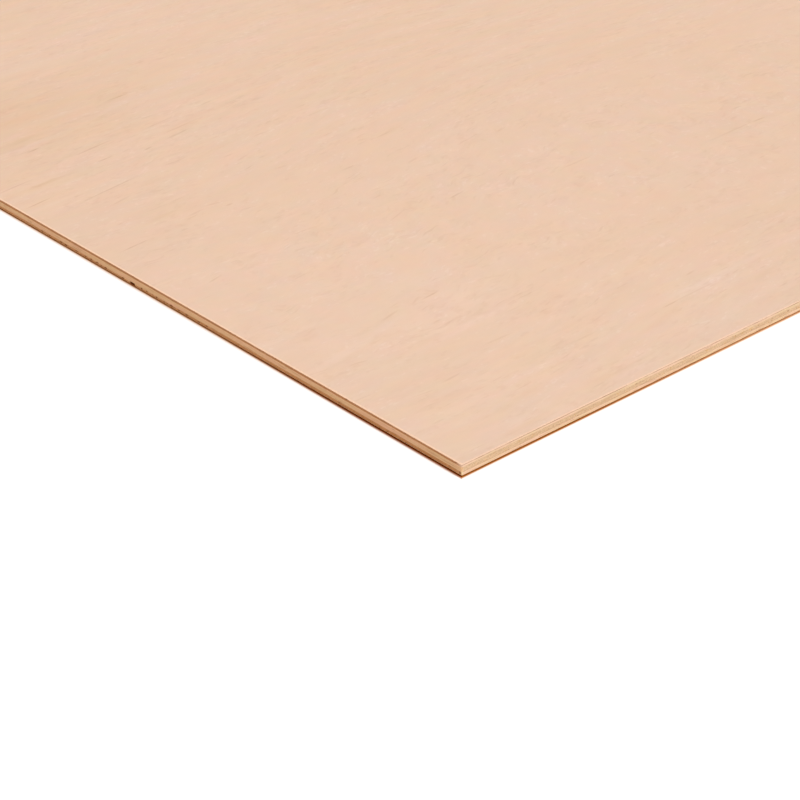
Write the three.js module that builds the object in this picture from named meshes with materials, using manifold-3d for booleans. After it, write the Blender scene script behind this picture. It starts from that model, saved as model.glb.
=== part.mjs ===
// Thin three-ply plywood sheet, lying flat on its back veneer.
//
// Three rotary-cut veneers are glued face to face. The face and the back veneer have their grain along
// the sheet and the core ply has its grain across it, so every cut edge shows end grain next to long
// grain. The glued stack is trimmed and sanded as one piece: the plies share one outline, the face
// veneer is sanded thinner than the back one, and the arrises of both outer faces are slightly eased.
// On one short edge the saw tore a splinter out of the back veneer, which left an open slot under the
// core.
//
// Millimetres, +Z up. The origin is the middle of the underside and X runs along the face grain.

import * as THREE from 'three';
import { mergeVertices } from 'three/addons/utils/BufferGeometryUtils.js';
import Module from 'manifold-3d';

// The sheet as it is sold.
const SHEET_LENGTH = 600; // along X, with the grain of the face veneer
const SHEET_WIDTH = 400; // along Y, with the grain of the core

// The plies, from the bottom up.
const BACK_VENEER = 0.9;
const CORE_PLY = 1.45;
const FACE_VENEER = 0.65;

// Sanded arris round the face and the back.
const ARRIS_RADIUS = 0.12;
const ARRIS_STEPS = 3;

// The torn slot in the back veneer, on the short edge at -X.
const SLOT_FROM_CORNER = 134.9; // to the middle of the slot, along the edge from the -Y corner
const SLOT_LENGTH = 2.3;
const SLOT_DEPTH = 3; // into the sheet
const SLOT_FLOOR = 0.2; // veneer left under the slot
const SLOT_CORNER = 0.18; // round of the slot's lower corners
const SLOT_INNER_SHARE = 0.45; // the slot's length at its inner end, as a share of SLOT_LENGTH

// How far a cutting solid runs past the surface that it cuts.
const CUT_MARGIN = 1;

const wasm = await Module();
wasm.setup();

function toSolid(geometry) {
	const bare = geometry.clone();
	bare.deleteAttribute('normal');
	bare.deleteAttribute('uv');
	const merged = mergeVertices(bare);
	return new wasm.Manifold(new wasm.Mesh({
		numProp: 3,
		vertProperties: Float32Array.from(merged.attributes.position.array),
		triVerts: Uint32Array.from(merged.index.array),
	}));
}

function toGeometry(solid) {
	const { vertProperties, triVerts } = solid.getMesh();
	const indexed = new THREE.BufferGeometry();
	indexed.setAttribute('position', new THREE.BufferAttribute(vertProperties, 3));
	indexed.setIndex(new THREE.BufferAttribute(triVerts, 1));
	const flatShaded = indexed.toNonIndexed();
	flatShaded.computeVertexNormals();
	return flatShaded;
}

// The whole sheet after trimming and sanding, before it is divided into plies.
function sandedSheet(thickness) {
	const halfLength = SHEET_LENGTH / 2 - ARRIS_RADIUS;
	const halfWidth = SHEET_WIDTH / 2 - ARRIS_RADIUS;
	const outline = new THREE.Shape();
	outline.moveTo(-halfLength, -halfWidth);
	outline.lineTo(halfLength, -halfWidth);
	outline.lineTo(halfLength, halfWidth);
	outline.lineTo(-halfLength, halfWidth);
	outline.closePath();
	const geometry = new THREE.ExtrudeGeometry(outline, {
		depth: thickness - 2 * ARRIS_RADIUS,
		bevelThickness: ARRIS_RADIUS,
		bevelSize: ARRIS_RADIUS,
		bevelSegments: ARRIS_STEPS,
	});
	geometry.translate(0, 0, ARRIS_RADIUS);
	return toSolid(geometry);
}

// Everything above a glue line, up to clear of the sheet.
function spaceAbove(glueLine, sheetTop) {
	const height = sheetTop + CUT_MARGIN - glueLine;
	const geometry = new THREE.BoxGeometry(
		SHEET_LENGTH + 2 * CUT_MARGIN,
		SHEET_WIDTH + 2 * CUT_MARGIN,
		height,
	);
	geometry.translate(0, 0, glueLine + height / 2);
	return toSolid(geometry);
}

// The torn slot: blunt at the edge, with a rounded floor, and shorter towards its inner end.
function tornSlot() {
	const half = SLOT_LENGTH / 2;
	const roof = BACK_VENEER + CUT_MARGIN;
	const outline = new THREE.Shape();
	outline.moveTo(half, roof);
	outline.lineTo(-half, roof);
	outline.lineTo(-half, SLOT_FLOOR + SLOT_CORNER);
	outline.quadraticCurveTo(-half, SLOT_FLOOR, -half + SLOT_CORNER, SLOT_FLOOR);
	outline.lineTo(half - SLOT_CORNER, SLOT_FLOOR);
	outline.quadraticCurveTo(half, SLOT_FLOOR, half, SLOT_FLOOR + SLOT_CORNER);
	outline.closePath();
	const geometry = new THREE.ExtrudeGeometry(outline, {
		depth: SLOT_DEPTH + CUT_MARGIN,
		bevelEnabled: false,
		curveSegments: 3,
	});

	// The outline is drawn across the edge, so it is turned to run into the sheet along X.
	const position = geometry.attributes.position;
	for (let i = 0; i < position.count; i++) {
		const inwards = Math.max(0, position.getZ(i) - CUT_MARGIN) / SLOT_DEPTH;
		position.setX(i, position.getX(i) * THREE.MathUtils.lerp(1, SLOT_INNER_SHARE, inwards));
	}
	geometry.applyMatrix4(new THREE.Matrix4().makeBasis(
		new THREE.Vector3(0, 1, 0),
		new THREE.Vector3(0, 0, 1),
		new THREE.Vector3(1, 0, 0),
	));
	geometry.translate(
		-SHEET_LENGTH / 2 - CUT_MARGIN,
		-SHEET_WIDTH / 2 + SLOT_FROM_CORNER,
		0,
	);
	return toSolid(geometry);
}

function plyMesh(name, solid, color, roughness) {
	const material = new THREE.MeshStandardMaterial({ color, roughness, metalness: 0 });
	const mesh = new THREE.Mesh(toGeometry(solid), material);
	mesh.name = name;
	return mesh;
}

function plywoodSheet() {
	const lowerGlueLine = BACK_VENEER;
	const upperGlueLine = lowerGlueLine + CORE_PLY;
	const sheetTop = upperGlueLine + FACE_VENEER;

	const sheet = sandedSheet(sheetTop);
	const aboveBack = spaceAbove(lowerGlueLine, sheetTop);
	const aboveCore = spaceAbove(upperGlueLine, sheetTop);

	const backVeneer = sheet.subtract(aboveBack).subtract(tornSlot());
	const corePly = sheet.intersect(aboveBack).subtract(aboveCore);
	const faceVeneer = sheet.intersect(aboveCore);

	const group = new THREE.Group();
	group.name = 'plywood_sheet';
	group.add(
		plyMesh('back_veneer', backVeneer, 0xe9c8aa, 0.62),
		plyMesh('core_ply', corePly, 0xcf9f76, 0.8),
		plyMesh('face_veneer', faceVeneer, 0xeccab1, 0.6),
	);
	return group;
}

export default plywoodSheet();
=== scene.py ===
import math
from collections import namedtuple

import bpy
import numpy as np
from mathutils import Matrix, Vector


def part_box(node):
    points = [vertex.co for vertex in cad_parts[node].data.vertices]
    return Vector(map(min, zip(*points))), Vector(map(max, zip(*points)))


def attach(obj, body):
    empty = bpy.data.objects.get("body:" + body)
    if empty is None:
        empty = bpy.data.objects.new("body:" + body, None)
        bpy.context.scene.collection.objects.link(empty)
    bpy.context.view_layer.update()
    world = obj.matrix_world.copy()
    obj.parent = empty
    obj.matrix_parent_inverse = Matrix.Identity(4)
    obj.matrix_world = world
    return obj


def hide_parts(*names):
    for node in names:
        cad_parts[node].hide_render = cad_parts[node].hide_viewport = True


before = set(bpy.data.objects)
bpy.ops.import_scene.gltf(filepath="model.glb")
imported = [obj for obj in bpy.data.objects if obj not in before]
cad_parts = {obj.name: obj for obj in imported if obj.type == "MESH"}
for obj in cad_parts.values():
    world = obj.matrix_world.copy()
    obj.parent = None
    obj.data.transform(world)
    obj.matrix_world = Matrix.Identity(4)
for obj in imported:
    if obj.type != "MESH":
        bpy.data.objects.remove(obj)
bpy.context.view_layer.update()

# A thin three-ply plywood sheet that lies on a white studio floor. Each ply is a mesh of its own in
# place of its CAD node: its sawn edges, eased arrises, tears and the torn slot are modelled, and its
# grain comes from a procedural wood material.

MM = 0.001

# ---------------------------------------------------------------------------------------------
# Places that come from the frame
# ---------------------------------------------------------------------------------------------

BACK_LOW, BACK_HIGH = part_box("back_veneer")
FACE_LOW, FACE_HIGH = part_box("face_veneer")
HALF_LENGTH = FACE_HIGH.x
HALF_WIDTH = FACE_HIGH.y
UNDERSIDE = BACK_LOW.z
LOWER_GLUE_LINE = BACK_HIGH.z
UPPER_GLUE_LINE = FACE_LOW.z
TOP = FACE_HIGH.z

# ---------------------------------------------------------------------------------------------
# Camera, solved from the two arrises and the near corner of the sheet
# ---------------------------------------------------------------------------------------------

CAMERA_FROM_CORNER = Vector((-279.1, -290.1, 254.1)) * MM  # from the near corner of the underside
CAMERA_HEADING = math.radians(48.2)  # from +X towards +Y
CAMERA_PITCH = math.radians(30.105)  # below the horizon
FOCAL_PIXELS = 2000
IMAGE_PIXELS = 800
SENSOR_WIDTH = 36.0


def add_camera():
    data = bpy.data.cameras.new("camera")
    data.sensor_width = SENSOR_WIDTH
    data.lens = FOCAL_PIXELS * SENSOR_WIDTH / IMAGE_PIXELS
    data.clip_start = 0.01
    data.clip_end = 50
    camera = bpy.data.objects.new("camera", data)
    near_corner = Vector((-HALF_LENGTH, -HALF_WIDTH, UNDERSIDE))
    camera.location = near_corner + CAMERA_FROM_CORNER
    camera.rotation_euler = (math.pi / 2 - CAMERA_PITCH, 0, CAMERA_HEADING - math.pi / 2)
    bpy.context.scene.collection.objects.link(camera)
    bpy.context.scene.camera = camera


# ---------------------------------------------------------------------------------------------
# Columns of points round the sheet, counter-clockwise from the near corner
# ---------------------------------------------------------------------------------------------

NEAR, FAR_END, FAR, NEAR_END = range(4)  # sides at -Y, +X, +Y and -X
CELLS_X = 40  # cells of the coarse grid inside each flat face
CELLS_Y = 27
FINE_COLUMNS = 60  # columns on the edge for each of those cells, on the two sides at the near corner
PLAIN_COLUMNS = 30  # and on the two far sides
CORNER_EASE = 0.09 * MM  # how far each upright corner is worn back, along X and along Y

# The torn slot in the back veneer, on the short edge at -X.
SLOT_MIDDLE = -HALF_WIDTH + 134.9 * MM
SLOT_LENGTH = 2.3 * MM
SLOT_DEPTH = 3 * MM
SLOT_FLOOR = UNDERSIDE + 0.2 * MM
STEP = 0.01 * MM  # between the two columns or rows that make a sharp step


def perimeter():
    """Outline point, outward direction and side of each column, and the columns where cells begin."""
    corners = np.array([(-1, -1), (1, -1), (1, 1), (-1, 1)], float)
    outward = np.array([(0, -1), (1, 0), (0, 1), (-1, 0)], float)
    half = (HALF_LENGTH, HALF_WIDTH)
    points, normals, sides, starts = [], [], [], [0]
    for side in range(4):
        cells = CELLS_X if side in (NEAR, FAR) else CELLS_Y
        per_cell = FINE_COLUMNS if side in (NEAR, NEAR_END) else PLAIN_COLUMNS
        share = np.arange(cells * per_cell)[:, None] / (cells * per_cell)
        place = (corners[side] * (1 - share) + corners[(side + 1) % 4] * share) * half
        place[0] -= corners[side] * CORNER_EASE
        normal = np.tile(outward[side], (len(share), 1))
        normal[0] += outward[side - 1]  # the corner moves with both of its sides
        points.append(place)
        normals.append(normal)
        sides.append(np.full(len(share), side))
        starts += [starts[-1] + per_cell * (cell + 1) for cell in range(cells)]
    return np.concatenate(points), np.concatenate(normals), np.concatenate(sides), starts


OUTLINE, OUTWARD, SIDE, CELL_STARTS = perimeter()
IS_SHORT_SIDE = (SIDE == FAR_END) | (SIDE == NEAR_END)
COLUMN_COUNT = len(SIDE)
IS_CORNER = np.abs(OUTWARD).sum(1) > 1


def sharpen_slot_ends():
    """Moves the two columns next to each end of the slot together, so that its ends are steep."""
    on_side = np.flatnonzero(SIDE == NEAR_END)
    found = []
    for end in (-0.5, 0.5):
        place = SLOT_MIDDLE + end * SLOT_LENGTH
        nearest = on_side[np.argsort(np.abs(OUTLINE[on_side, 1] - place))[:2]]
        nearest = sorted(nearest, key=lambda column: OUTLINE[column, 1])
        OUTLINE[nearest[0], 1] = place - STEP / 2
        OUTLINE[nearest[1], 1] = place + STEP / 2
        found += nearest
    return np.array(found)


SLOT_COLUMNS = sharpen_slot_ends()
ALONG = np.where(IS_SHORT_SIDE, OUTLINE[:, 1], OUTLINE[:, 0])

# ---------------------------------------------------------------------------------------------
# Relief of the sawn edges
# ---------------------------------------------------------------------------------------------

SAW_MARK_PITCH = 0.9 * MM
SAW_MARK_DEPTH = 0.012 * MM
SAW_MARK_SLOPE = 0.25
LONG_GRAIN_DEPTH = 0.022 * MM
END_GRAIN_DEPTH = 0.03 * MM
FIBRE_SHARE, FINE_SHARE = 0.7, 0.3  # of the relief of long grain
# Lengths along the edge and heights of open cells, of fibres and of the finest fibres.
CELL_LENGTH, CELL_HEIGHT = 0.5 * MM, 0.35 * MM
FIBRE_LENGTH, FIBRE_HEIGHT = 7 * MM, 0.13 * MM
FINE_LENGTH, FINE_HEIGHT = 1.6 * MM, 0.09 * MM
GLUE_WAVE = 0.07 * MM
GLUE_WAVE_LENGTH = 9 * MM
GLUE_RIPPLE_LENGTH = 2.2 * MM
# How far each glue line is off its middle height at the long edges, and what it gains half-way
# between them.
LOWER_GLUE_DRIFT = (0.0, -0.18 * MM)
UPPER_GLUE_DRIFT = (-0.07 * MM, -0.1 * MM)
UPPER_GLUE_SAG = -0.25 * MM  # of the upper glue line, half-way along the long edges
# The lower glue line dips round the torn slot.
GLUE_DIP = -0.22 * MM
GLUE_DIP_MIDDLE = -HALF_WIDTH + 136 * MM
GLUE_DIP_REACH = 24 * MM


def lattice_value(ix, iy, seed):
    """A repeatable random value from 0 to 1 for each lattice point."""
    mixed = ix.astype(np.int64) * 374761393 + iy.astype(np.int64) * 668265263 + seed * 974634777
    mixed = (mixed ^ (mixed >> 13)) * 1274126177
    mixed = mixed ^ (mixed >> 16)
    return (mixed & 0xFFFFFF) / float(0xFFFFFF)


def noise(x, y, seed):
    """Smooth noise from 0 to 1 with a cell of one unit. A multiple of SIDE as y makes the sides differ."""
    x, y = np.broadcast_arrays(x, y)
    ix, iy = np.floor(x), np.floor(y)
    fx, fy = x - ix, y - iy
    fx = fx * fx * (3 - 2 * fx)
    fy = fy * fy * (3 - 2 * fy)
    low = lattice_value(ix, iy, seed) * (1 - fx) + lattice_value(ix + 1, iy, seed) * fx
    high = lattice_value(ix, iy + 1, seed) * (1 - fx) + lattice_value(ix + 1, iy + 1, seed) * fx
    return low * (1 - fy) + high * fy


def over_slot():
    """Which columns lie within the torn slot."""
    return (SIDE == NEAR_END) & (np.abs(ALONG - SLOT_MIDDLE) < SLOT_LENGTH / 2)


def glue_line(height, drift, seed):
    """The glue line's height at each column: veneers are never quite even in thickness."""
    waves = noise(ALONG / GLUE_WAVE_LENGTH, SIDE * 7.0, seed)
    ripples = noise(ALONG / GLUE_RIPPLE_LENGTH, SIDE * 7.0, seed + 1)
    slow = drift[0] + drift[1] * (0.5 + 0.5 * np.cos(math.pi * OUTLINE[:, 1] / HALF_WIDTH))
    return height + slow + GLUE_WAVE * (waves + 0.5 * ripples - 0.75)


def lower_glue_line():
    """The glue line under the core, which keeps its full height above the slot."""
    distance = (ALONG - GLUE_DIP_MIDDLE) / GLUE_DIP_REACH
    dips = (SIDE == NEAR_END) & ~over_slot()
    dip = np.where(dips, GLUE_DIP * np.exp(-(distance ** 2)), 0.0)
    return glue_line(LOWER_GLUE_LINE, LOWER_GLUE_DRIFT, seed=41) + dip


def upper_glue_line():
    sag = np.where(IS_SHORT_SIDE, 0.0, UPPER_GLUE_SAG * np.cos(math.pi / 2 * OUTLINE[:, 0] / HALF_LENGTH))
    return glue_line(UPPER_GLUE_LINE, UPPER_GLUE_DRIFT, seed=43) + sag


def sawn_relief(height, end_grain, seed):
    """Depth of the saw marks and fibres of one row of points below the edge's plane."""
    marks = noise(ALONG / SAW_MARK_PITCH + SAW_MARK_SLOPE * height / SAW_MARK_PITCH, SIDE * 5.0, 11)
    cells = noise(ALONG / CELL_LENGTH, height / CELL_HEIGHT, seed)
    fibres = noise(ALONG / FIBRE_LENGTH, height / FIBRE_HEIGHT, seed + 1)
    fine = noise(ALONG / FINE_LENGTH, height / FINE_HEIGHT, seed + 2)
    long_grain = FIBRE_SHARE * fibres + FINE_SHARE * fine
    grain = np.where(end_grain, END_GRAIN_DEPTH * cells, LONG_GRAIN_DEPTH * long_grain)
    return SAW_MARK_DEPTH * marks + grain


TEAR_SHAPE = 0.6  # below 1 a tear has steep walls and a broad floor


class Tear:
    """A hollow where the saw pulled fibres out of an edge."""

    def __init__(self, side, along, height, half_length, half_height, depth):
        self.side, self.along, self.height = side, along, height
        self.half_length, self.half_height, self.depth = half_length, half_height, depth

    def depth_at(self, height):
        reach = ((ALONG - self.along) / self.half_length) ** 2
        reach = reach + ((height - self.height) / self.half_height) ** 2
        return np.where(SIDE == self.side, self.depth * np.clip(1 - reach, 0, 1) ** TEAR_SHAPE, 0)


# Random tears: ranges of half the length, half the height and the depth, in millimetres.
SHORT_TEARS = (0.12, 0.4), (0.08, 0.22), (0.03, 0.16)
LONG_TEARS = (0.6, 3.2), (0.04, 0.1), (0.02, 0.1)
BACK_TEARS, CORE_TEARS, FACE_TEARS = 260, 340, 220  # on each metre of edge


def random_tears(rng, low, high, grain_along_x, per_metre):
    """Long thin tears where the grain runs along the edge and short deep ones where it ends there."""
    tears = []
    for side in range(4):
        is_short_side = side in (FAR_END, NEAR_END)
        half = HALF_WIDTH if is_short_side else HALF_LENGTH
        ranges = SHORT_TEARS if is_short_side == grain_along_x else LONG_TEARS
        for _ in range(int(2 * half * per_metre)):
            along = rng.uniform(-half, half)
            height = rng.uniform(low, high)
            sizes = [rng.uniform(*limits) * MM for limits in ranges]
            tears.append(Tear(side, along, height, *sizes))
    return tears


# Places on the short edge at -X, in millimetres from the near corner, where the saw broke the back
# veneer's fibres away from the core.
TORN_PLACES = [
    100.5, 104, 109.5, 113, 116.6, 118.4, 119.9, 123.4, 125.3, 128.1, 130.6, 139.6,
    148.2, 150.3, 152.4, 155.4, 158.3, 163, 168.5, 171, 177, 181,
]
# Ranges for the tears at these places, in millimetres. Their height is from the lower glue line.
TORN_HALF_LENGTH = 0.35, 0.85
TORN_HALF_HEIGHT = 0.16, 0.3
TORN_HEIGHT = -0.6, -0.42
TORN_DEPTH = 0.16, 0.3
# The chip in the back veneer beside the near corner.
CHIP_PLACE = 0.8 * MM - HALF_WIDTH
CHIP_HEIGHT = UNDERSIDE + 0.45 * MM
CHIP_HALF_LENGTH = 0.4 * MM
CHIP_HALF_HEIGHT = 0.48 * MM
CHIP_DEPTH = 0.2 * MM


def ragged_tears(rng):
    tears = []
    for place in TORN_PLACES:
        half_length = rng.uniform(*TORN_HALF_LENGTH) * MM
        half_height = rng.uniform(*TORN_HALF_HEIGHT) * MM
        height = LOWER_GLUE_LINE + rng.uniform(*TORN_HEIGHT) * MM
        depth = rng.uniform(*TORN_DEPTH) * MM
        tears.append(Tear(NEAR_END, place * MM - HALF_WIDTH, height, half_length, half_height, depth))
    tears.append(Tear(NEAR_END, CHIP_PLACE, CHIP_HEIGHT, CHIP_HALF_LENGTH, CHIP_HALF_HEIGHT, CHIP_DEPTH))
    return tears


def slot_depth(height):
    """The torn slot: a blunt pocket under the core."""
    return np.where(over_slot() & (height > SLOT_FLOOR), SLOT_DEPTH, 0.0)


FRAY_HEIGHT = TOP - 0.15 * MM
FRAY_REACH = 0.15 * MM
FRAY_DEPTH = 0.03 * MM
# The fray line's darkness is painted shade under the lifted fibres.
FRAY_DARKNESS = 0.85
FRAY_DASH = 1.3 * MM
FRAY_STRETCH = 17 * MM  # of the edge that is frayed more, or less


def fray(height):
    """Strength of the broken line of lifted fibres just under the face's long arrises, a shallow groove
    painted darker as the shade under the fibres.
    """
    dashes = noise(ALONG / FRAY_DASH, SIDE * 9.0, 71)
    stretches = noise(ALONG / FRAY_STRETCH, SIDE * 9.0, 72)
    near = np.clip(1 - np.abs(height - FRAY_HEIGHT) / FRAY_REACH, 0, 1)
    strength = np.clip(0.7 * dashes + 0.6 * stretches + 0.3, 0, 1)
    return np.where(IS_SHORT_SIDE, 0.0, near * strength)


# ---------------------------------------------------------------------------------------------
# Mesh of one ply
# ---------------------------------------------------------------------------------------------

GRID_INSET = 6 * MM  # from the edge to the coarse grid
ARRIS_RADIUS = 0.12 * MM
ARRIS_CHIP = 0.16 * MM  # how much deeper the arris is worn at its worst
ARRIS_CHIP_LENGTH = 1.1 * MM
ARRIS_CHIP_SPACING = 14 * MM
ARRIS_UNCHIPPED = 0.45  # value of the noise up to which the arris is even
ARRIS_STEPS = 3
BACK_ROWS, CORE_ROWS, FACE_ROWS = 9, 11, 7  # rows of points up each ply's sawn edge
ARRIS_BAND = 0.36 * MM  # strip of the face beside the arris that is painted lighter, as sanding left it and as a painted highlight
ARRIS_FADE = 0.7 * MM  # where that strip has faded out
LONG_ARRIS = 0.65  # strength of that strip on the long sides
LOWER_ARRIS = 0.7  # and of the lower arris
LOWER_ARRIS_SHARE = 0.5  # the lower arris is worn less than the upper one
FULL_TEAR = 0.2 * MM  # depth at which a tear's painted shade is as dark as it can be
TEAR_DARKNESS = 0.85  # of the slot's, whose inside is painted darker than any tear, as the deepest shade
POCKET_RIM = 0.15 * MM  # how far below the slot its painted shade reaches

# The upright corners are painted lighter too, mostly on the end grain: wear, and a painted highlight down
# each corner.
CORNER_HIGHLIGHT_AND_WEAR = 0.85
END_GRAIN_CORNER_REACH, LONG_GRAIN_CORNER_REACH = 1.3 * MM, 0.4 * MM  # how far that reaches from the corner
FROM_CORNER = np.where(IS_SHORT_SIDE, HALF_WIDTH, HALF_LENGTH) - np.abs(ALONG)
CORNER_REACH = np.where(IS_SHORT_SIDE, END_GRAIN_CORNER_REACH, LONG_GRAIN_CORNER_REACH)
CORNER_GLOW = CORNER_HIGHLIGHT_AND_WEAR * np.exp(-((FROM_CORNER / CORNER_REACH) ** 2))


class PlyMesh:
    """Rings of points round the sheet from the lower face to the upper one, then a grid for each face."""

    def __init__(self, name, grain_along_x):
        self.name = name
        self.end_grain = IS_SHORT_SIDE == grain_along_x
        self.rings = []
        self.arris = []
        self.tear = []
        self.band_is_edge = []  # whether the band above each ring is part of the sawn edge
        self.sharp_rings = []

    def add_ring(self, height, inset=0.0, relief=0.0, arris=0.0, tear=0.0, sharp=False, edge=True):
        inset = np.broadcast_to(inset, COLUMN_COUNT)
        relief = np.broadcast_to(relief, COLUMN_COUNT)
        x = OUTLINE[:, 0] * (1 - inset / HALF_LENGTH) - OUTWARD[:, 0] * relief
        y = OUTLINE[:, 1] * (1 - inset / HALF_WIDTH) - OUTWARD[:, 1] * relief
        z = np.broadcast_to(height, COLUMN_COUNT)
        if sharp:
            self.sharp_rings.append(len(self.rings))
        self.rings.append(np.stack([x, y, z], axis=1))
        self.arris.append(np.broadcast_to(arris, COLUMN_COUNT))
        self.tear.append(np.clip(np.broadcast_to(tear, COLUMN_COUNT), 0, 1))
        self.band_is_edge.append(edge)

    def add_edge(self, low, high, rows, tears, seed, first_sharp=True, last_sharp=True, pocket=None):
        """Even rows of the sawn edge between two heights, which are given for each column."""
        for row, share in enumerate(np.linspace(0, 1, rows)):
            height = low * (1 - share) + high * share
            torn = np.zeros(COLUMN_COUNT)
            for tear in tears:
                torn = np.maximum(torn, tear.depth_at(height))
            total = sawn_relief(height, self.end_grain, seed) + torn + FRAY_DEPTH * fray(height)
            # Tears are painted darker the deeper they are: torn wood, and painted shade in their hollows.
            # The fray line gets painted shade too.
            dark = TEAR_DARKNESS * np.clip(torn / FULL_TEAR + FRAY_DARKNESS * fray(height), 0, 1)
            if pocket is not None:
                total = np.maximum(total, pocket(height))
                dark = np.where(pocket(height + POCKET_RIM) > 0, 1.0, dark)
            sharp = (row == 0 and first_sharp) or (row == rows - 1 and last_sharp)
            self.add_ring(height, relief=total, arris=CORNER_GLOW, tear=dark, sharp=sharp)

    def cap(self, ring, height, upward, vertices, faces):
        """Coarse grid of a flat face, with a fan of fine points on each cell of its border."""
        first = len(vertices)
        xs = np.linspace(-1, 1, CELLS_X + 1) * (HALF_LENGTH - GRID_INSET)
        ys = np.linspace(-1, 1, CELLS_Y + 1) * (HALF_WIDTH - GRID_INSET)
        for y in ys:
            vertices.extend((x, y, height) for x in xs)

        def at(i, j):
            return first + j * (CELLS_X + 1) + i

        border = [at(i, 0) for i in range(CELLS_X)] + [at(CELLS_X, j) for j in range(CELLS_Y)]
        border += [at(i, CELLS_Y) for i in range(CELLS_X, 0, -1)]
        border += [at(0, j) for j in range(CELLS_Y, 0, -1)]
        made = [
            (at(i, j), at(i + 1, j), at(i + 1, j + 1), at(i, j + 1))
            for j in range(CELLS_Y)
            for i in range(CELLS_X)
        ]
        for k, corner in enumerate(border):
            columns = range(CELL_STARTS[k], CELL_STARTS[k + 1] + 1)
            fine = [ring * COLUMN_COUNT + column % COLUMN_COUNT for column in columns]
            made.append(tuple(fine + [border[(k + 1) % len(border)], corner]))
        faces.extend(made if upward else [face[::-1] for face in made])
        return len(made)

    def build(self, lower_height, upper_height):
        vertices = [tuple(point) for ring in self.rings for point in ring]
        faces, end_grain, sawn = [], [], []
        columns = np.arange(COLUMN_COUNT)
        following = (columns + 1) % COLUMN_COUNT
        for ring in range(len(self.rings) - 1):
            low, high = ring * COLUMN_COUNT, (ring + 1) * COLUMN_COUNT
            band = np.stack([low + columns, low + following, high + following, high + columns], axis=1)
            faces.extend(map(tuple, band.tolist()))
            sawn.append(np.full(COLUMN_COUNT, float(self.band_is_edge[ring])))
            end_grain.append(sawn[-1] * self.end_grain)
        flat = self.cap(0, lower_height, False, vertices, faces)
        flat += self.cap(len(self.rings) - 1, upper_height, True, vertices, faces)

        mesh = bpy.data.meshes.new(self.name)
        mesh.from_pydata(vertices, [], faces)
        mesh.shade_smooth()
        self.mark_sharp(mesh)
        inner = np.zeros(len(vertices) - len(self.rings) * COLUMN_COUNT)
        self.store(mesh, "end_grain", "FACE", end_grain + [np.zeros(flat)])
        self.store(mesh, "sawn", "FACE", sawn + [np.zeros(flat)])
        self.store(mesh, "arris", "POINT", self.arris + [inner])
        self.store(mesh, "tear", "POINT", self.tear + [inner])
        mesh.validate()
        piece = bpy.data.objects.new(self.name, mesh)
        bpy.context.scene.collection.objects.link(piece)
        return piece

    @staticmethod
    def store(mesh, name, domain, values):
        attribute = mesh.attributes.new(name, "FLOAT", domain)
        attribute.data.foreach_set("value", np.concatenate(values).astype(np.float32))

    def mark_sharp(self, mesh):
        """Keeps the normals apart at the glue lines and at the slot's ends."""
        ends = np.zeros(len(mesh.edges) * 2, dtype=np.int64)
        mesh.edges.foreach_get("vertices", ends)
        ends = ends.reshape(-1, 2)
        ring, column = ends // COLUMN_COUNT, ends % COLUMN_COUNT
        on_rings = (ring < len(self.rings)).all(axis=1)
        along_ring = (ring[:, 0] == ring[:, 1]) & np.isin(ring[:, 0], self.sharp_rings)
        up_column = (column[:, 0] == column[:, 1]) & np.isin(column[:, 0], SLOT_COLUMNS)
        attribute = mesh.attributes.new("sharp_edge", "BOOLEAN", "EDGE")
        attribute.data.foreach_set("value", on_rings & (along_ring | up_column))


def arris_radius(seed):
    """Radius of the eased arris at each column: even, with a few places where more has broken off."""
    chips = noise(ALONG / ARRIS_CHIP_LENGTH, SIDE * 3.0, seed)
    chips = chips * noise(ALONG / ARRIS_CHIP_SPACING, SIDE * 3.0, seed + 1)
    return ARRIS_RADIUS + ARRIS_CHIP * np.clip(chips - ARRIS_UNCHIPPED, 0, 1) / (1 - ARRIS_UNCHIPPED)


def make_back_veneer(rng, ragged):
    ply = PlyMesh("back_veneer_sawn", grain_along_x=True)
    radius = LOWER_ARRIS_SHARE * arris_radius(seed=31)
    ply.add_ring(UNDERSIDE, inset=ARRIS_BAND + radius, edge=False)
    for step in range(ARRIS_STEPS):
        angle = math.pi / 2 * (1 - step / ARRIS_STEPS)
        height = UNDERSIDE + radius * (1 - math.sin(angle))
        ply.add_ring(height, inset=radius * (1 - math.cos(angle)), arris=LOWER_ARRIS, edge=False)
    low = UNDERSIDE + radius
    high = lower_glue_line()
    tears = random_tears(rng, UNDERSIDE, LOWER_GLUE_LINE, True, BACK_TEARS) + ragged
    ply.add_edge(low, high, BACK_ROWS, tears, seed=51, first_sharp=False, pocket=slot_depth)
    return ply.build(UNDERSIDE, LOWER_GLUE_LINE)


def make_core_ply(rng, ragged):
    ply = PlyMesh("core_ply_sawn", grain_along_x=False)
    low = lower_glue_line()
    high = upper_glue_line()
    tears = random_tears(rng, LOWER_GLUE_LINE, UPPER_GLUE_LINE, False, CORE_TEARS) + ragged
    ply.add_edge(low, high, CORE_ROWS, tears, seed=54)
    return ply.build(LOWER_GLUE_LINE, UPPER_GLUE_LINE)


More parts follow.
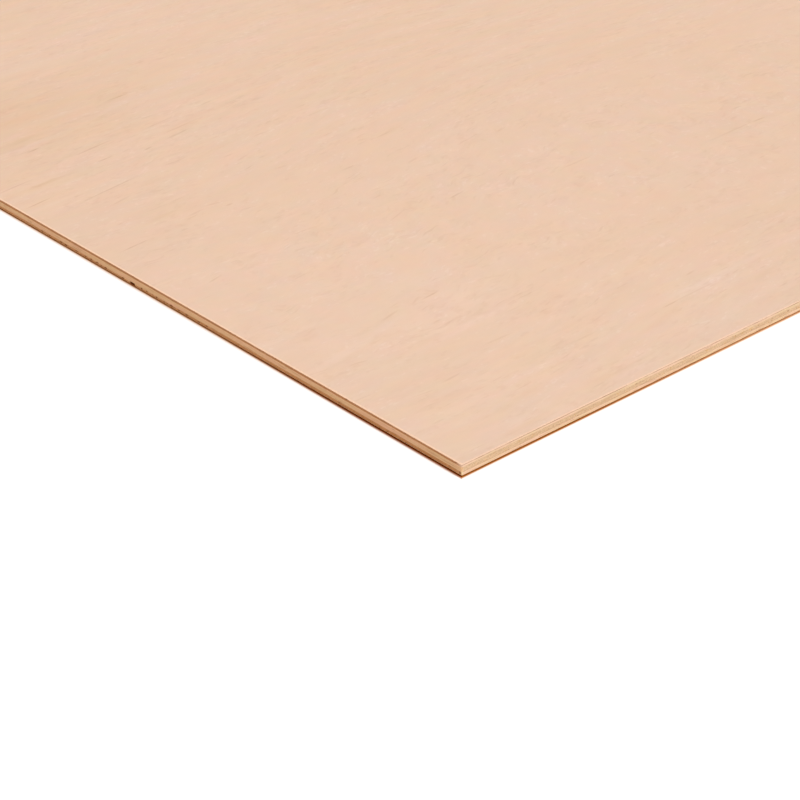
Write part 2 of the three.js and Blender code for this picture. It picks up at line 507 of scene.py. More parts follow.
def make_face_veneer(rng):
    ply = PlyMesh("face_veneer_sawn", grain_along_x=True)
    radius = arris_radius(seed=33)
    low = upper_glue_line()
    high = TOP - radius
    tears = random_tears(rng, UPPER_GLUE_LINE, TOP, True, FACE_TEARS)
    ply.add_edge(low, high, FACE_ROWS, tears, seed=57, last_sharp=False)
    ply.band_is_edge[-1] = False
    glow = np.where(IS_SHORT_SIDE | IS_CORNER, 1.0, LONG_ARRIS)
    for step in range(1, ARRIS_STEPS + 1):
        angle = math.pi / 2 * step / ARRIS_STEPS
        height = TOP - radius * (1 - math.sin(angle))
        inset = radius * (1 - math.cos(angle))
        frayed = TEAR_DARKNESS * FRAY_DARKNESS * fray(height)
        ply.add_ring(height, inset=inset, arris=glow, tear=frayed, edge=False)
    ply.add_ring(TOP, inset=ARRIS_BAND, arris=glow, edge=False)
    ply.add_ring(TOP, inset=ARRIS_FADE, edge=False)
    return ply.build(UPPER_GLUE_LINE, TOP)


# ---------------------------------------------------------------------------------------------
# Materials
# ---------------------------------------------------------------------------------------------


def srgb(red, green, blue):
    """A linear colour from the 0 to 255 values of a display."""

    def linear(value):
        value /= 255
        return value / 12.92 if value <= 0.04045 else ((value + 0.055) / 1.055) ** 2.4

    return (linear(red), linear(green), linear(blue), 1.0)


def tinted(color, tint):
    red, green, blue = (min(1.0, value * factor) for value, factor in zip(color, tint))
    return (red, green, blue, 1.0)


class Graph:
    """Short calls for building the node tree of a material or a world."""

    def __init__(self, owner, shader="Principled BSDF"):
        owner.use_nodes = True
        self.tree = owner.node_tree
        self.shader = self.tree.nodes[shader]

    def node(self, kind, **settings):
        made = self.tree.nodes.new(kind)
        for key, value in settings.items():
            setattr(made, key, value)
        return made

    def put(self, socket, value):
        if isinstance(value, bpy.types.NodeSocket):
            self.tree.links.new(value, socket)
        else:
            socket.default_value = value

    def math(self, operation, first, second=0.0, clamp=False):
        made = self.node("ShaderNodeMath", operation=operation, use_clamp=clamp)
        self.put(made.inputs[0], first)
        self.put(made.inputs[1], second)
        return made.outputs[0]

    def vector(self, operation, first, second):
        made = self.node("ShaderNodeVectorMath", operation=operation)
        self.put(made.inputs[0], first)
        self.put(made.inputs[1], second)
        return made.outputs[0]

    def length(self, vector):
        made = self.node("ShaderNodeVectorMath", operation="LENGTH")
        self.put(made.inputs[0], vector)
        return made.outputs["Value"]

    def parts(self, vector):
        made = self.node("ShaderNodeSeparateXYZ")
        self.put(made.inputs[0], vector)
        return made.outputs

    def joined(self, x, y, z):
        made = self.node("ShaderNodeCombineXYZ")
        for socket, value in zip(made.inputs, (x, y, z)):
            self.put(socket, value)
        return made.outputs[0]

    def ramp(self, value, low, high, to_low=0.0, to_high=1.0):
        made = self.node("ShaderNodeMapRange", interpolation_type="SMOOTHSTEP")
        for socket, given in zip(made.inputs, (value, low, high, to_low, to_high)):
            self.put(socket, given)
        return made.outputs[0]

    def number(self, share, first, second):
        """A number that goes from the first to the second."""
        made = self.node("ShaderNodeMix", data_type="FLOAT")
        self.put(made.inputs[0], share)
        self.put(made.inputs[2], first)
        self.put(made.inputs[3], second)
        return made.outputs[0]

    def mix(self, share, first, second):
        made = self.node("ShaderNodeMix", data_type="RGBA")
        self.put(made.inputs[0], share)
        self.put(made.inputs[6], first)
        self.put(made.inputs[7], second)
        return made.outputs[2]

    def shaded(self, color, share, low, high):
        """The colour multiplied by a tint that goes from low to high."""
        return self.vector("MULTIPLY", color, self.mix(share, (*low, 1.0), (*high, 1.0)))

    def centred(self, noise):
        """The noise shifted so that its middle is 0."""
        return self.math("SUBTRACT", noise, 0.5)

    def swung(self, noise, contrast):
        """The noise with its swings about its middle scaled by the contrast."""
        return self.math("ADD", self.math("MULTIPLY", self.centred(noise), contrast), 0.5)

    def spread(self, noise):
        """The noise, which mostly stays between 0.3 and 0.7, spread from 0 to 1."""
        return self.ramp(noise, 0.3, 0.7)

    def above(self, noise, threshold, fade, strength):
        """Nothing up to a threshold of the noise, and the full strength where it is above that by fade."""
        return self.ramp(self.math("SUBTRACT", noise, threshold), 0.0, fade, 0.0, strength)

    def band(self, across, middle, reach):
        """1 in the middle of a band and 0 beyond its reach."""
        return self.ramp(self.math("ABSOLUTE", self.math("SUBTRACT", across, middle)), reach, 0.0)

    def attribute(self, name):
        return self.node("ShaderNodeAttribute", attribute_name=name).outputs["Fac"]

    def noise(self, place, size, detail=2.0, roughness=0.5, shift=0.0):
        """Noise whose features are about size long in X, Y and Z, with place and size in millimetres."""
        scaled = self.vector("MULTIPLY", place, tuple(1 / length for length in size))
        if shift:
            scaled = self.vector("ADD", scaled, (shift, shift * 1.7, shift * 0.6))
        made = self.node("ShaderNodeTexNoise", noise_dimensions="3D")
        self.put(made.inputs["Vector"], scaled)
        made.inputs["Scale"].default_value = 1.0
        made.inputs["Detail"].default_value = detail
        made.inputs["Roughness"].default_value = roughness
        return made.outputs["Fac"]

    def object_place(self):
        return self.node("ShaderNodeTexCoord").outputs["Object"]

    def object_millimetres(self):
        return self.vector("MULTIPLY", self.object_place(), (1 / MM, 1 / MM, 1 / MM))

    def seen_directly(self):
        """1 for what the camera sees, also in reflections or through glass, and 0 for other light."""
        path = self.node("ShaderNodeLightPath")
        seen = self.math("MAXIMUM", path.outputs["Is Camera Ray"], path.outputs["Is Glossy Ray"])
        return self.math("MAXIMUM", seen, path.outputs["Is Transmission Ray"])


GRAIN_SLOPE = 0.05  # rise of the grain across the sheet for each millimetre along it
GRAIN_SWEEP = 2.9  # millimetres by which the grain swings to one side
SWEEP_START, SWEEP_LENGTH = 100.0, 300.0
GRAIN_CLIMB = 16.0  # millimetres by which the grain climbs inside the band round CLIMB_MIDDLE
CLIMB_START, CLIMB_END = 20.0, 200.0
CLIMB_MIDDLE, CLIMB_REACH = 150.0, 110.0
GRAIN_WANDER = 7.0
WANDER_SIZE, WAVE_SIZE = (110, 60, 400), (11, 7, 400)
CURLY_MIDDLE, CURLY_REACH = 105.0, 85.0  # a band where the grain is curly and shows no long streaks
STRAIGHT_FLUTTER, CURLY_FLUTTER = 1.2, 6.5  # waves of single fibres, outside that band and inside it


def wandering_grain(graph, along_x, shift):
    """Coordinates in millimetres with the grain along X, bent slightly as grain wanders in a log, the
    same with the short waves of single fibres, and how curly the grain is."""
    place = graph.object_millimetres()
    along, across, _ = graph.parts(graph.vector("ADD", place, (HALF_LENGTH / MM, HALF_WIDTH / MM, 0)))
    if not along_x:
        parts = graph.parts(place)
        place = graph.joined(parts[1], parts[0], parts[2])
    turns = graph.math("MULTIPLY", graph.math("SUBTRACT", along, SWEEP_START), 2 * math.pi / SWEEP_LENGTH)
    wander = graph.centred(graph.noise(place, WANDER_SIZE, detail=1.0, shift=shift))
    climbs = graph.band(across, CLIMB_MIDDLE, CLIMB_REACH)
    climb = graph.math("MULTIPLY", graph.ramp(along, CLIMB_START, CLIMB_END, 0.0, GRAIN_CLIMB), climbs)
    rise = graph.math("ADD", graph.math("MULTIPLY", along, GRAIN_SLOPE), climb)
    rise = graph.math("ADD", rise, graph.math("MULTIPLY", graph.math("SINE", turns), GRAIN_SWEEP))
    rise = graph.math("ADD", rise, graph.math("MULTIPLY", wander, GRAIN_WANDER))
    waves = graph.centred(graph.noise(place, WAVE_SIZE, detail=1.0, shift=shift + 1.9))
    curly = graph.band(across, CURLY_MIDDLE, CURLY_REACH)
    flutter = graph.math("MULTIPLY", waves, graph.ramp(curly, 0.0, 0.7, STRAIGHT_FLUTTER, CURLY_FLUTTER))
    grain = graph.vector("SUBTRACT", place, graph.joined(0.0, rise, 0.0))
    fluttered = graph.vector("SUBTRACT", grain, graph.joined(0.0, flutter, 0.0))
    return grain, fluttered, curly


# Marks on the face, in millimetres from the near corner along and across the sheet. The turn is in
# degrees from the sheet's long side.
Mark = namedtuple("Mark", "along across length width turn strength")
STREAKS = [
    Mark(30, 188, 34, 1.0, 11, 0.7),
    Mark(43, 218, 22, 1.1, 11, 0.75),
    Mark(28, 229, 7, 0.9, 12, 1.3),
    Mark(7, 193.5, 13, 0.8, 11, 1.0),
    Mark(8, 208.5, 19, 0.8, 10, 0.9),
    Mark(41, 208, 9, 0.9, 8, 1.0),
    Mark(71, 221, 22, 1.2, 11, 0.45),
    Mark(71, 209.5, 15, 1.1, 13, 0.85),
    Mark(74, 249, 12, 1.1, 6, 0.95),
    Mark(115, 193.5, 16, 1.2, 8, 0.3),
    Mark(120, 164.5, 12, 1.2, 9, 0.4),
    Mark(71, 172.5, 7, 0.8, 18, 0.6),
    Mark(82, 115, 13, 0.8, 20, 0.45),
    Mark(105, 114, 9, 0.8, 10, 1.0),
    Mark(54, 70, 10, 0.8, 6, 0.65),
    Mark(16, 117.5, 8, 0.9, 16, 0.6),
    Mark(47, 158, 9, 1.2, -8, 0.55),
    Mark(110, 23, 34, 0.8, 2, 0.35),
    Mark(206, 91, 36, 1.1, 3, 0.45),
    Mark(151, 107, 17, 1.0, 3, 0.4),
    Mark(75, 214, 20, 1.2, 10, 0.45),
    Mark(12, 150, 14, 0.9, 8, 0.95),
    Mark(38, 68.5, 11, 1.3, 14, 0.4),
    Mark(50.5, 39.5, 14, 1.1, 0, 0.35),
    Mark(94, 151.5, 8, 1.5, 5, 0.45),
    Mark(26.5, 178.5, 12, 1.2, 15, 0.45),
    Mark(68, 25, 13, 1.1, 2, 0.45),
    Mark(113, 142.5, 9, 1.6, 16, 0.35),
    Mark(99.5, 22.5, 9, 0.8, 3, 0.8),
    Mark(79, 166, 6, 1.4, 0, 0.45),
    Mark(38.5, 156.5, 9, 1.3, 12, 0.45),
    Mark(49.5, 154.5, 4, 1.4, 6, 0.6),
    Mark(88.5, 174.5, 8, 1.2, 25, 0.4),
    Mark(118, 31.5, 6, 1.1, 8, 0.5),
    Mark(56.5, 206, 5, 1.2, 15, 0.9),
    Mark(74.5, 180, 8, 1.3, 18, 0.45),
    Mark(221, 91.5, 9, 1.1, 0, 0.7),
    Mark(94, 225, 9, 1.0, 11, 0.5),
]
WARM_PATCHES = [
    Mark(19, 205, 28, 3, 5, 0.8),
    # The broad patch below is partly painted shade: the face darker and warmer towards its far corner at
    # -X, where less light falls.
    Mark(30, 256, 170, 104, 5, 0.75),
    Mark(29, 161, 18, 4, 9, 0.5),
]
BROWN_STREAKS = [
    Mark(7, 203, 50, 4, 8, 0.7),
    Mark(27, 238, 62, 4.5, 8, 1.2),
    Mark(37, 254, 50, 4.5, 0, 0.7),
    Mark(74, 249, 28, 3.5, 20, 0.7),
    Mark(41, 264, 30, 3.5, 4, 1.5),
    Mark(149, 21, 62, 4.5, 14, 1.1),
    Mark(88, 17, 62, 4.5, 12, 0.7),
    Mark(63, 7, 30, 3.5, 2, 0.8),
    Mark(31, 13, 26, 4.5, 6, 0.8),
    Mark(16, 26, 24, 3, 6, 0.7),
    Mark(22, 3, 50, 4, 10, 0.5),
    Mark(9, 73, 34, 4, 4, 0.5),
    Mark(31, 67, 28, 3, 10, 0.9),
    Mark(220, 91, 56, 4, 0, 0.5),
    Mark(104, 220, 50, 3.5, 8, 0.5),
    Mark(37, 231, 28, 3, 12, 1.0),
    Mark(126, 166, 28, 3.5, 18, 1.0),
]
PALE_STREAKS = [
    Mark(116, 25, 70, 4.5, 2, 0.9),
    Mark(46, 50, 62, 4.5, 6, 1.1),
    Mark(48, 21, 62, 4.5, 0, 0.9),
    Mark(18, 61, 62, 4.5, 10, 0.7),
    Mark(7, 78, 50, 4.5, 0, 0.5),
    Mark(24, 232, 62, 4.5, 10, 1.0),
    Mark(30, 243, 40, 4, 16, 0.8),
    Mark(7, 190, 50, 4.5, 6, 0.9),
    Mark(72, 244, 50, 3.5, 20, 0.8),
    Mark(103, 224, 28, 3.5, 8, 0.8),
    Mark(53, 249, 28, 3.5, 2, 0.9),
    Mark(31, 64, 30, 3.5, 12, 0.9),
    Mark(65, 4, 30, 3.5, 0, 1.0),
    Mark(127, 54, 28, 3.5, 8, 0.7),
    Mark(66, 158, 24, 7, 7, 0.3),
    Mark(153, 123, 44, 9, 7, 0.4),
]
LIVELY_PATCHES = [
    Mark(28, 26, 90, 50, 5, 0.8),
    Mark(50, 215, 190, 90, 8, 1.0),
]
# A painted sheen: the broad glossy reflection of a soft lamp, painted as a lighter patch over the middle
# of the face.
PAINTED_SHEEN_PATCH = [
    Mark(47, 52, 370, 270, 56, 1.0),
]
PALE_PATCHES = [
    Mark(55, 62, 60, 20, 5, 0.4),
    Mark(150, 27, 60, 6, 3, 0.6),
    Mark(150, 125, 60, 14, 14, 0.4),
    Mark(35, 120, 70, 26, 9, 0.4),
]


def marked(graph, marks, core=0.2):
    """How strongly any of the marks covers a point: full inside the core and nothing at the rim."""
    place = graph.object_millimetres()
    total = 0.0
    for mark in marks:
        # Each mark is a round gradient, stretched and turned by the gradient's own mapping. With a
        # mapping node for each of so many marks, the shader would run out of room and fail.
        round_mark = graph.node("ShaderNodeTexGradient", gradient_type="SPHERICAL")
        graph.put(round_mark.inputs["Vector"], place)
        mapping = round_mark.texture_mapping
        mapping.vector_type = "TEXTURE"
        mapping.translation = (mark.along - HALF_LENGTH / MM, mark.across - HALF_WIDTH / MM, TOP / MM)
        mapping.rotation = (0, 0, math.radians(mark.turn))
        mapping.scale = (mark.length / 2, mark.width / 2, 1)
        cover = graph.ramp(round_mark.outputs["Fac"], 0.0, 1.0 - core, 0.0, mark.strength)
        total = graph.math("MAXIMUM", cover, total)
    return total


# The worn colour lights the arrises: wear, and a painted highlight along them.
Wood = namedtuple("Wood", "flat sawn end worn")  # sanded face, sawn long grain and end grain, arrises

# Tints that the wood's colours are multiplied by.
EVEN = (1.0, 1.0, 1.0)
SAGE, SALMON = (0.982, 1.001, 1.008), (1.018, 0.999, 0.989)
LEAF, MAUVE = (0.997, 1.013, 0.995), (1.003, 0.987, 1.005)
LAVENDER, STRAW = (1.001, 1.005, 1.03), (0.999, 0.993, 0.97)
DULL, BRIGHT = (0.984, 0.978, 0.976), (1.016, 1.023, 1.028)
TAN, CREAM = (0.993, 0.991, 0.982), (1.007, 1.009, 1.015)
MILK, SAND = (1.002, 1.006, 1.016), (0.997, 0.992, 0.977)
DARK_FIBRE = (0.82, 0.73, 0.64)
PAINTED_GLINT_TINT = (1.04, 1.075, 1.12)
HONEY = (0.96, 0.925, 0.865)
BLEACHED = (1.01, 1.02, 1.05)
FADED, UMBER = (1.04, 1.06, 1.125), (0.925, 0.89, 0.825)
PAINTED_SHEEN_TINT = (1.026, 1.036, 1.054)
DULL_SAWN, DARK_END, TORN = (0.87, 0.83, 0.79), (0.74, 0.69, 0.63), (0.34, 0.16, 0.05)
SAWN_OLIVE, SAWN_ROSE = (0.97, 1.01, 0.93), (1.02, 0.985, 1.02)
RESIN = (1.0, 0.93, 0.76)
LOWER_RIM_SHADE = (1.0, 0.9, 0.74)
PALE_FOOT_TINT = (1.12, 1.38, 1.45)

# Sizes of the features of the face's noises, in millimetres along the grain, across it and upright.
# Those of hue, blush and chill are for straight grain and for curly grain.
HUE_SIZES = (18, 8, 8), (11, 11, 11)
BLUSH_SIZES = (14, 7, 7), (9, 9, 9)
CHILL_SIZES = (30, 7, 7), (13, 9, 9)
CLOUD_SIZE = (90, 45, 45)
BUNDLE_SIZE = (45, 5.5, 5.5)
MOTTLE_SIZE = (9, 3, 3)
FIBRE_SIZE = (3.4, 1.4, 1.4)
LINE_SIZE = (9, 1.1, 1.1)
GLINT_SIZE = (2.4, 1.2, 1.2)
CROWD_SIZE = (26, 13, 13)
BUNDLE_CONTRASTS = 2.5, 0.8  # in straight grain and in curly grain
MOTTLE_CONTRASTS = 1.5, 3.6  # outside the crowded places and inside them

# Dashes, lines and specks show where their noise is above a threshold, with their full strength where
# it is above that by the fade. The specks are painted glints, light that single fibres reflect. The second
# threshold is for where they crowd together.
DASH_THRESHOLDS, DASH_FADE, DASH_STRENGTH = (0.64, 0.52), 0.2, 0.155
LINE_THRESHOLDS, LINE_FADE, LINE_STRENGTH = (0.72, 0.64), 0.12, 0.27
SPECK_THRESHOLDS, SPECK_FADE, SPECK_STRENGTH = (0.7, 0.56), 0.14, 0.7
STREAK_STRENGTH = 0.75  # of the placed dark streaks


def veneer_color(graph, grain, fluttered, curly, flat, shift, on_face):
    """Colour, raised height and mottle of the sanded face. A shift of its own keeps each noise apart."""

    def cast(sizes, straight_shift, curly_shift, detail=3.0, roughness=0.75):
        """Noise that is drawn out where the grain is straight and rounder where it is curly."""
        drawn_out = graph.noise(grain, sizes[0], detail, roughness, shift + straight_shift)
        rounder = graph.noise(fluttered, sizes[1], detail, roughness, shift + curly_shift)
        return graph.number(curly, drawn_out, rounder)

    hue = cast(HUE_SIZES, 0.0, 43.6)
    blush = cast(BLUSH_SIZES, 51.3, 57.9, detail=2.5, roughness=0.7)
    chill = cast(CHILL_SIZES, 3.1, 47.2)
    clouds = graph.noise(grain, CLOUD_SIZE, detail=2.0, roughness=0.55, shift=shift + 2.3)
    bundles = graph.noise(grain, BUNDLE_SIZE, detail=2.0, roughness=0.6, shift=shift + 13.4)
    mottle = graph.noise(fluttered, MOTTLE_SIZE, detail=2.0, roughness=0.7, shift=shift + 5.7)
    fibres = graph.noise(fluttered, FIBRE_SIZE, detail=1.0, shift=shift + 7.3)
    long_fibres = graph.noise(fluttered, LINE_SIZE, detail=1.0, roughness=0.4, shift=shift + 11.9)
    glints = graph.noise(fluttered, GLINT_SIZE, detail=1.0, shift=shift + 23.2)
    crowding = graph.noise(grain, CROWD_SIZE, detail=1.0, shift=shift + 17.7)
    crowding = graph.ramp(crowding, 0.34, 0.66)
    if on_face:
        crowding = graph.math("MAXIMUM", crowding, marked(graph, LIVELY_PATCHES, core=0.0))

    # Broad casts of colour, which are soft and weak.
    color = graph.shaded(flat[:3], graph.spread(clouds), SAND, MILK)
    color = graph.shaded(color, graph.spread(hue), SAGE, SALMON)
    color = graph.shaded(color, graph.spread(blush), LEAF, MAUVE)
    color = graph.shaded(color, graph.spread(chill), STRAW, LAVENDER)
    contrast = graph.ramp(curly, 0.0, 1.0, *BUNDLE_CONTRASTS)
    color = graph.shaded(color, graph.swung(bundles, contrast), TAN, CREAM)
    contrast = graph.ramp(crowding, 0.0, 1.0, *MOTTLE_CONTRASTS)
    color = graph.shaded(color, graph.swung(mottle, contrast), DULL, BRIGHT)

    # Dark dashes and lines, which crowd together in places, and light specks in the cooler patches,
    # painted glints off single fibres.
    threshold = graph.ramp(crowding, 0.0, 1.0, *DASH_THRESHOLDS)
    dashes = graph.above(fibres, threshold, DASH_FADE, DASH_STRENGTH)
    threshold = graph.ramp(crowding, 0.0, 1.0, *LINE_THRESHOLDS)
    lines = graph.above(long_fibres, threshold, LINE_FADE, LINE_STRENGTH)
    threshold = graph.ramp(chill, 0.4, 0.65, *SPECK_THRESHOLDS)
    painted_glints = graph.above(glints, threshold, SPECK_FADE, SPECK_STRENGTH)
    color = graph.shaded(color, dashes, EVEN, DARK_FIBRE)
    color = graph.shaded(color, lines, EVEN, DARK_FIBRE)
    color = graph.shaded(color, painted_glints, EVEN, PAINTED_GLINT_TINT)
    if on_face:
        color = face_marks(graph, color, bundles, mottle)
    raised = graph.math("SUBTRACT", fibres, graph.math("MULTIPLY", lines, 0.8))
    return color, raised, mottle


def face_marks(graph, color, bundles, mottle):
    """The colour with the placed patches and with the placed streaks, which the noise breaks up."""
    # Painted sheen first, then the placed patches of colour.
    color = graph.shaded(color, marked(graph, PAINTED_SHEEN_PATCH, core=0.0), EVEN, PAINTED_SHEEN_TINT)
    color = graph.shaded(color, marked(graph, WARM_PATCHES, core=0.0), EVEN, HONEY)
    color = graph.shaded(color, marked(graph, PALE_PATCHES, core=0.0), EVEN, BLEACHED)
    broken = graph.ramp(bundles, 0.3, 0.65, 0.3, 0.55)
    pale = graph.math("MULTIPLY", marked(graph, PALE_STREAKS), broken)
    color = graph.shaded(color, pale, EVEN, FADED)
    broken = graph.ramp(mottle, 0.35, 0.65, 0.42, 0.18)
    brown = graph.math("MULTIPLY", marked(graph, BROWN_STREAKS), broken)
    color = graph.shaded(color, brown, EVEN, UMBER)
    broken = graph.ramp(mottle, 0.3, 0.55, 0.45, 1.0)
    dark = graph.math("MULTIPLY", marked(graph, STREAKS), broken)
    return graph.shaded(color, graph.math("MULTIPLY", dark, STREAK_STRENGTH), EVEN, DARK_FIBRE)


# Sizes of the features of the edges' noises, in the same way.
SAWN_FIBRE_SIZE = (5, 1.2, 0.22)
TICK_SIZE = (0.9, 0.9, 0.5)
SAWN_PATCH_SIZE = (11, 11, 1.2)
OPEN_CELL_SIZE = (6, 0.45, 0.35)
RING_SIZE = (6, 5, 0.3)
RESIN_SIZE = (6, 1.5, 0.9)


def edge_color(graph, grain, wood, shift):
    """Colour of the sawn edge, with open cells and growth rings where the grain ends."""
    dull = tinted(wood.sawn, DULL_SAWN)
    fibres = graph.noise(grain, SAWN_FIBRE_SIZE, detail=2.0, roughness=0.6, shift=shift + 26.1)
    long_color = graph.mix(graph.ramp(fibres, 0.3, 0.75), wood.sawn, dull)
    ticks = graph.noise(grain, TICK_SIZE, detail=1.0, shift=shift + 37.2)
    long_color = graph.mix(graph.ramp(ticks, 0.55, 0.8, 0.0, 0.6), long_color, dull)
    patches = graph.noise(grain, SAWN_PATCH_SIZE, detail=1.5, shift=shift + 39.7)
    long_color = graph.shaded(long_color, graph.ramp(patches, 0.35, 0.65), SAWN_OLIVE, SAWN_ROSE)

    dark = tinted(wood.end, DARK_END)
    cells = graph.noise(grain, OPEN_CELL_SIZE, detail=2.0, roughness=0.6, shift=shift + 29.4)
    end_color = graph.mix(graph.ramp(cells, 0.35, 0.75), wood.end, dark)
    rings = graph.noise(grain, RING_SIZE, detail=1.0, shift=shift + 31.8)
    end_color = graph.mix(graph.ramp(rings, 0.4, 0.7, 0.0, 0.6), end_color, dark)
    spots = graph.noise(grain, RESIN_SIZE, detail=1.0, shift=shift + 34.4)
    end_color = graph.shaded(end_color, graph.ramp(spots, 0.6, 0.75), EVEN, RESIN)
    return graph.mix(graph.attribute("end_grain"), long_color, end_color)


SHADED_RIM_TOP = UNDERSIDE + 0.4 * MM  # the lowest strip of the edges is painted warmer and darker up to here: painted shade, and painted warm light reflected from below
# Beside its chip, the foot of the near corner is painted lighter.
PALE_FOOT_MIDDLE = -HALF_LENGTH / MM, -HALF_WIDTH / MM, UNDERSIDE / MM + 0.6
PALE_FOOT_REACH = 0.6  # millimetres
GLUE_HALF_WIDTH, GLUE_FADE = 0.03, 0.1  # millimetres from the middle of a glue line
GLUE_STRENGTH = 0.15
SPECULAR_LEVEL = 0.1
DULL_ROUGHNESS, BRIGHT_ROUGHNESS = 0.6, 0.75  # where the mottle is dull and where it is bright
BUMP_STRENGTH = 0.25
BUMP_HEIGHT = 0.05 * MM


def veneer_material(name, wood, along_x, glue_lines, shift, on_face=False):
    material = bpy.data.materials.new(name)
    graph = Graph(material)
    grain, fluttered, curly = wandering_grain(graph, along_x, shift)
    flat_color, raised, mottle = veneer_color(graph, grain, fluttered, curly, wood.flat, shift, on_face)
    sawn, arris, tear = graph.attribute("sawn"), graph.attribute("arris"), graph.attribute("tear")
    color = graph.mix(sawn, flat_color, edge_color(graph, grain, wood, shift))

    # The arris is painted lighter, where sanding burnished it and as a painted highlight; tears and glue
    # lines are darker.
    color = graph.mix(arris, color, wood.worn)
    place = graph.object_millimetres()
    height = graph.parts(place)[2]
    # Painted shade and painted reflected warm light along the lowest strip of the edges.
    rim = graph.ramp(height, UNDERSIDE / MM, SHADED_RIM_TOP / MM, 1.0, 0.0)
    rim = graph.math("MULTIPLY", rim, graph.math("MAXIMUM", sawn, arris))
    color = graph.shaded(color, rim, EVEN, LOWER_RIM_SHADE)
    from_foot = graph.length(graph.vector("SUBTRACT", place, PALE_FOOT_MIDDLE))
    pale_foot = graph.ramp(from_foot, 0.5 * PALE_FOOT_REACH, PALE_FOOT_REACH, 1.0, 0.0)
    color = graph.shaded(color, pale_foot, EVEN, PALE_FOOT_TINT)
    torn = tinted(wood.end, TORN)
    for line in glue_lines:
        distance = graph.math("ABSOLUTE", graph.math("SUBTRACT", height, line / MM))
        glue = graph.ramp(distance, GLUE_HALF_WIDTH, GLUE_FADE, GLUE_STRENGTH, 0.0)
        color = graph.mix(graph.math("MULTIPLY", glue, sawn), color, torn)
    # The tear attribute mixes in the torn colour, which is partly painted shade in the hollows.
    color = graph.mix(tear, color, torn)
    graph.put(graph.shader.inputs["Base Color"], color)

    graph.shader.inputs["Specular IOR Level"].default_value = SPECULAR_LEVEL
    roughness = graph.ramp(mottle, 0.2, 0.8, DULL_ROUGHNESS, BRIGHT_ROUGHNESS)
    graph.put(graph.shader.inputs["Roughness"], graph.math("MAXIMUM", roughness, tear))
    bump = graph.node("ShaderNodeBump")
    bump.inputs["Strength"].default_value = BUMP_STRENGTH
    bump.inputs["Distance"].default_value = BUMP_HEIGHT
    graph.put(bump.inputs["Height"], raised)
    graph.put(graph.shader.inputs["Normal"], bump.outputs[0])
    return material


FLOOR_GLOW = 0.42  # added for the camera, so that the floor is white apart from the contact line
FLOOR_WHITE = (0.92, 0.92, 0.92)
SHORT_SIDE_FADES = 0.95 * MM, 0.3 * MM  # width of the contact line beyond the edges
LONG_SIDE_FADE = 0.6 * MM
SHADOW_REACH = 2.2 * MM  # and beyond it a soft warm painted shadow
SHADOW = (0.62, 0.42, 0.3, 1.0)
# The painted shade on the floor under the sheet is deeper below its short edges, and deepest beside the
# corners.
SHORT_SIDE_SHADES = (0.38, 0.09, 0.005, 1.0), (0.68, 0.32, 0.1, 1.0)
LONG_SIDE_SHADES = (0.5, 0.17, 0.02, 1.0), (0.75, 0.4, 0.18, 1.0)
SHADE_TURNS, SHADE_TURNED = 30 * MM, 120 * MM  # from a corner: where the first gives way to the second


def floor_material():
    """White studio floor that keeps the sheet's contact shadow, with painted shade under the sheet and a
    painted soft shadow beyond its edges.
    """
    material = bpy.data.materials.new("studio_floor")
    graph = Graph(material)
    graph.shader.inputs["Roughness"].default_value = 0.9
    graph.shader.inputs["Specular IOR Level"].default_value = 0.0
    from_middle = graph.parts(graph.vector("ABSOLUTE", graph.object_place(), (0, 0, 0)))
    beyond_x = graph.math("SUBTRACT", from_middle[0], HALF_LENGTH)
    beyond_y = graph.math("SUBTRACT", from_middle[1], HALF_WIDTH)
    beyond = graph.math("MAXIMUM", beyond_x, beyond_y)
    below_long_side = graph.math("GREATER_THAN", beyond_y, beyond_x)
    past_nearer_corner = graph.math("MINIMUM", beyond_x, beyond_y)
    turn = graph.ramp(past_nearer_corner, -SHADE_TURNS, -SHADE_TURNED)
    short_side = graph.mix(turn, *SHORT_SIDE_SHADES)
    long_side = graph.mix(turn, *LONG_SIDE_SHADES)
    shade = graph.mix(below_long_side, short_side, long_side)
    fade = graph.number(below_long_side, graph.number(turn, *SHORT_SIDE_FADES), LONG_SIDE_FADE)
    clear = graph.ramp(beyond, 0.0, fade)
    left = graph.math("SUBTRACT", 1.0, graph.math("DIVIDE", beyond, SHADOW_REACH), clamp=True)
    dimmed = graph.mix(graph.math("POWER", left, 3.0), (1.0, 1.0, 1.0, 1.0), SHADOW)
    white = graph.vector("MULTIPLY", dimmed, FLOOR_WHITE)
    graph.put(graph.shader.inputs["Base Color"], graph.mix(clear, shade, white))
    graph.put(graph.shader.inputs["Emission Color"], dimmed)
    glow = graph.math("MULTIPLY", clear, FLOOR_GLOW)
    glow = graph.math("MULTIPLY", graph.seen_directly(), glow)
    graph.put(graph.shader.inputs["Emission Strength"], glow)
    return material


# ---------------------------------------------------------------------------------------------
# Stage
# ---------------------------------------------------------------------------------------------

# The dark line is mostly the floor's painted shade, seen through that gap.
FLOOR_GAP = 0.4 * MM  # a thin sheet never lies quite flat, which leaves a dark line under its edge
FLOOR_SIZE = 30.0
WORLD_LIGHT = 0.5
KEY_STRENGTH = 0.56
KEY_DIRECTION = Vector((0.12, -0.5, 0.86))  # towards the lamp
KEY_SOFTNESS = math.radians(50)


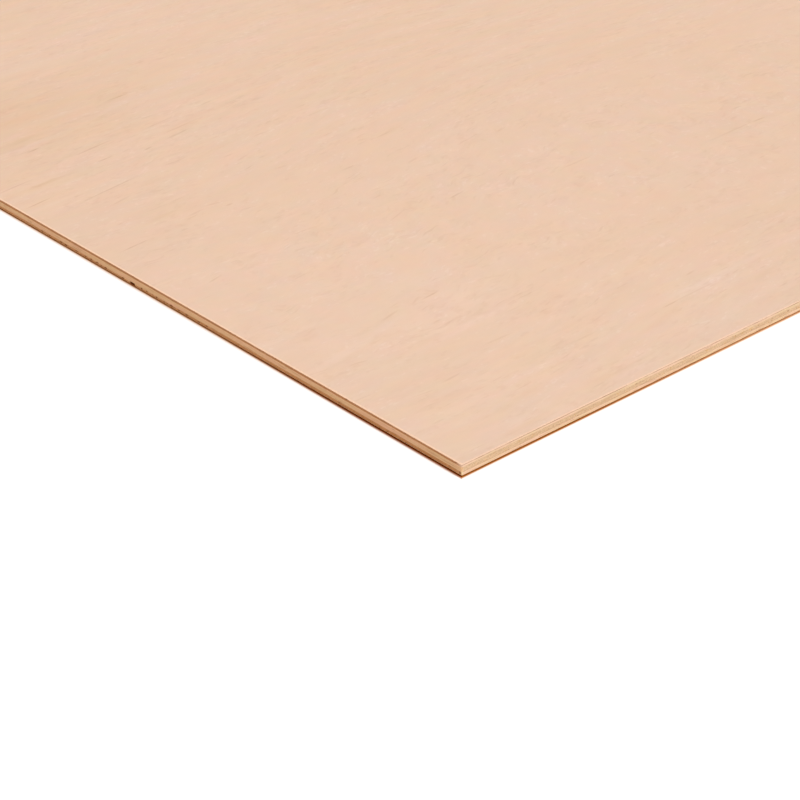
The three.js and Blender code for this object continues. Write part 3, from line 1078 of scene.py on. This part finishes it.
def add_floor():
    half = FLOOR_SIZE / 2
    z = UNDERSIDE - FLOOR_GAP
    corners = [(-half, -half, z), (half, -half, z), (half, half, z), (-half, half, z)]
    mesh = bpy.data.meshes.new("floor")
    mesh.from_pydata(corners, [], [(0, 1, 2, 3)])
    mesh.materials.append(floor_material())
    floor = bpy.data.objects.new("floor", mesh)
    bpy.context.scene.collection.objects.link(floor)


def add_lights():
    key = bpy.data.lights.new("key", "SUN")
    key.energy = KEY_STRENGTH * math.pi
    key.angle = KEY_SOFTNESS
    lamp = bpy.data.objects.new("key", key)
    lamp.rotation_euler = KEY_DIRECTION.to_track_quat("Z", "Y").to_euler()
    bpy.context.scene.collection.objects.link(lamp)

    # The world is white behind the sheet and dimmer as a light.
    world = bpy.data.worlds.new("studio")
    graph = Graph(world, "Background")
    graph.shader.inputs["Color"].default_value = (1.0, 1.0, 1.0, 1.0)
    strength = graph.ramp(graph.seen_directly(), 0.0, 1.0, WORLD_LIGHT, 1.0)
    graph.put(graph.shader.inputs["Strength"], strength)
    bpy.context.scene.world = world
    bpy.context.scene.view_settings.view_transform = "Standard"


# ---------------------------------------------------------------------------------------------
# The sheet
# ---------------------------------------------------------------------------------------------

FACE = Wood(
    flat=srgb(236, 201, 175),
    sawn=srgb(252, 216, 182),
    end=srgb(209, 144, 95),
    worn=srgb(255, 214, 183),
)
BACK = FACE._replace(end=srgb(223, 158, 105), worn=srgb(248, 196, 148))
CORE = Wood(
    flat=srgb(246, 194, 149),
    sawn=srgb(246, 194, 149),
    end=srgb(239, 202, 164),
    worn=srgb(255, 203, 151),
)

rng = np.random.default_rng(7)
ragged = ragged_tears(rng)
back = make_back_veneer(rng, ragged)
core = make_core_ply(rng, ragged)
face = make_face_veneer(rng)
back_wood = veneer_material("back_veneer_wood", BACK, True, [LOWER_GLUE_LINE], shift=41.0)
core_wood = veneer_material("core_ply_wood", CORE, False, [LOWER_GLUE_LINE, UPPER_GLUE_LINE], shift=83.0)
face_wood = veneer_material("face_veneer_wood", FACE, True, [UPPER_GLUE_LINE], shift=5.0, on_face=True)
for piece, node, material in (
    (back, "back_veneer", back_wood),
    (core, "core_ply", core_wood),
    (face, "face_veneer", face_wood),
):
    piece.data.materials.append(material)
    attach(piece, "root")
    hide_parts(node)

add_camera()
add_floor()
add_lights()
